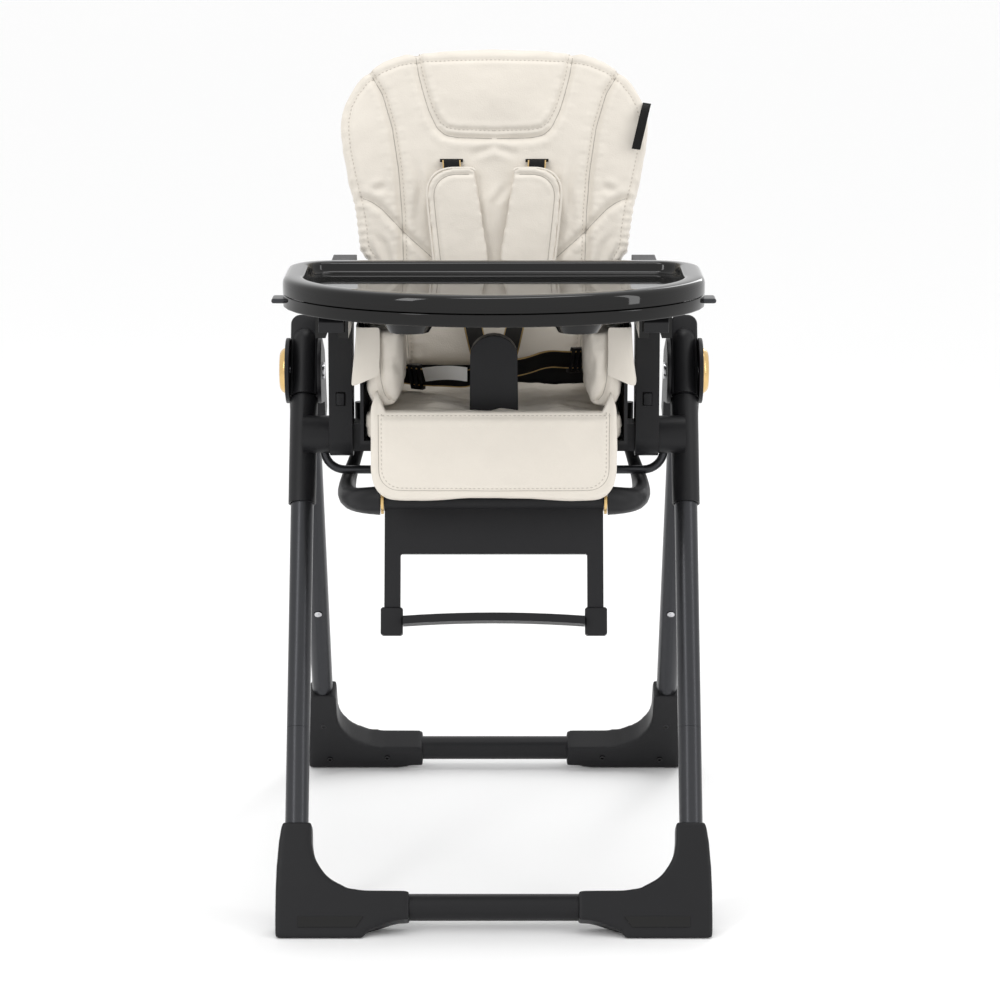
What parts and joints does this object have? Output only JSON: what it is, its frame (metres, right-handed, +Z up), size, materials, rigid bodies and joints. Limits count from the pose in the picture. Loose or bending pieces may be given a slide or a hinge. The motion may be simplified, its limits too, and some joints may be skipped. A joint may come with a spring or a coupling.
{
  "type": "folding high chair",
  "caption": "Folding baby high chair on an A-frame: sliding seat, reclining padded back, hinged calf rest with a foot bar, and a tray with a lift-off cover.",
  "frame": {"origin": "on the floor, below the middle of the chair's box", "axes": "+Z up; the chair and its child face -Y; +X runs across the chair"},
  "size_m": [0.5494, 0.8298, 1.0402],
  "materials": {
    "black_plastic": "fine satin grain",
    "gloss_black": "polished",
    "graphite_paint": "satin metallic paint",
    "gold_trim": "metallised champagne gold",
    "cream_leather": "smooth coated fabric over foam",
    "black_webbing": "woven webbing",
    "steel": "bright plated"
  },
  "bodies": {
    "front_frame": {"front_hub_left": "black_plastic", "front_hub_right": "black_plastic", "hub_axle_left": "steel", "hub_axle_right": "steel", "hub_ring_left": "gold_trim", "hub_ring_right": "gold_trim", "front_leg_upper_left": "graphite_paint", "front_leg_upper_right": "graphite_paint", "front_leg_lower_left": "graphite_paint", "front_leg_lower_right": "graphite_paint", "front_foot_left": "black_plastic", "front_foot_right": "black_plastic", "front_foot_inlay_left": "gloss_black", "front_foot_inlay_right": "gloss_black", "front_cross_tube": "graphite_paint"},
    "rear_frame": {"rear_hub_left": "black_plastic", "rear_hub_right": "black_plastic", "rear_leg_left": "graphite_paint", "rear_leg_right": "graphite_paint", "rear_foot_left": "black_plastic", "rear_foot_right": "black_plastic", "rear_cross_tube": "graphite_paint"},
    "seat_carriage": {"slider_left": "black_plastic", "slider_right": "black_plastic", "tie_rod": "graphite_paint", "side_frame_left": "black_plastic", "side_frame_right": "black_plastic", "seat_cross_tube": "graphite_paint", "seat_shell": "black_plastic", "crotch_post": "black_plastic", "seat_pad": "cream_leather", "front_flap": "cream_leather", "calf_arm_left": "black_plastic", "calf_arm_right": "black_plastic", "waist_strap_left": "black_webbing", "waist_strap_right": "black_webbing", "buckle": "gloss_black"},
    "backrest": {"backrest_shell": "black_plastic", "backrest_pad": "cream_leather", "shoulder_pad_left": "cream_leather", "shoulder_pad_right": "cream_leather", "shoulder_strap_left": "black_webbing", "shoulder_strap_right": "black_webbing"},
    "recline_handle": {"recline_handle": "black_plastic"},
    "calf_rest": {"calf_board": "black_plastic", "calf_ring_left": "gold_trim", "calf_ring_right": "gold_trim"},
    "foot_bar": {"foot_bar": "black_plastic", "foot_bar_clamp_left": "black_plastic", "foot_bar_clamp_right": "black_plastic"},
    "tray": {"tray_base": "gloss_black"},
    "tray_cover": {"tray_cover": "gloss_black"},
    "fold_button_left": {"fold_button_left": "black_plastic"},
    "snap_button_left": {"snap_button_left": "steel"},
    "height_button_left": {"height_button_left": "black_plastic"},
    "tray_latch_left": {"tray_latch_left": "graphite_paint"},
    "fold_button_right": {"fold_button_right": "black_plastic"},
    "snap_button_right": {"snap_button_right": "steel"},
    "height_button_right": {"height_button_right": "black_plastic"},
    "tray_latch_right": {"tray_latch_right": "graphite_paint"}
  },
  "joints": [
    {"name": "fold", "type": "hinge", "parent": "front_frame", "child": "rear_frame", "pos_m": [0, -0.025, 0.643], "axis": [-1, 0, 0], "range_deg": [0, 56]},
    {"name": "seat_height", "type": "slide", "parent": "front_frame", "child": "seat_carriage", "axis": [0, -0.4566, -0.8897], "range_m": [0, 0.24]},
    {"name": "recline", "type": "hinge", "parent": "seat_carriage", "child": "backrest", "pos_m": [0, 0.036, 0.607], "axis": [-1, 0, 0], "range_deg": [0, 40]},
    {"name": "recline_release", "type": "slide", "parent": "backrest", "child": "recline_handle", "axis": [0, 0.2756, 0.9613], "range_m": [0, 0.012], "stiffness_N_per_m": 400, "springref_m": -0.004},
    {"name": "calf_swing", "type": "hinge", "parent": "seat_carriage", "child": "calf_rest", "pos_m": [0, -0.186, 0.506], "axis": [-1, 0, 0], "range_deg": [0, 65]},
    {"name": "foot_bar_height", "type": "slide", "parent": "calf_rest", "child": "foot_bar", "axis": [0, 0.342, 0.9397], "range_m": [0, 0.048]},
    {"name": "tray_depth", "type": "slide", "parent": "seat_carriage", "child": "tray", "axis": [0, -1, 0], "range_m": [0, 0.2]},
    {"name": "tray_cover_lift", "type": "slide", "parent": "tray", "child": "tray_cover", "axis": [0, 0, 1], "range_m": [0, 0.08]},
    {"name": "fold_press_left", "type": "slide", "parent": "front_frame", "child": "fold_button_left", "axis": [1, 0, 0], "range_m": [0, 0.003], "stiffness_N_per_m": 600, "springref_m": -0.001},
    {"name": "snap_press_left", "type": "slide", "parent": "rear_frame", "child": "snap_button_left", "axis": [0, 0.8676, 0.4973], "range_m": [0, 0.003], "stiffness_N_per_m": 500, "springref_m": -0.001},
    {"name": "height_press_left", "type": "slide", "parent": "seat_carriage", "child": "height_button_left", "axis": [0, 1, 0], "range_m": [0, 0.003], "stiffness_N_per_m": 600, "springref_m": -0.001},
    {"name": "tray_latch_press_left", "type": "slide", "parent": "tray", "child": "tray_latch_left", "axis": [1, 0, 0], "range_m": [0, 0.008], "stiffness_N_per_m": 500, "springref_m": -0.002},
    {"name": "fold_press_right", "type": "slide", "parent": "front_frame", "child": "fold_button_right", "axis": [-1, 0, 0], "range_m": [0, 0.003], "stiffness_N_per_m": 600, "springref_m": -0.001},
    {"name": "snap_press_right", "type": "slide", "parent": "rear_frame", "child": "snap_button_right", "axis": [0, 0.8676, 0.4973], "range_m": [0, 0.003], "stiffness_N_per_m": 500, "springref_m": -0.001},
    {"name": "height_press_right", "type": "slide", "parent": "seat_carriage", "child": "height_button_right", "axis": [0, 1, 0], "range_m": [0, 0.003], "stiffness_N_per_m": 600, "springref_m": -0.001},
    {"name": "tray_latch_press_right", "type": "slide", "parent": "tray", "child": "tray_latch_right", "axis": [-1, 0, 0], "range_m": [0, 0.008], "stiffness_N_per_m": 500, "springref_m": -0.002}
  ]
}
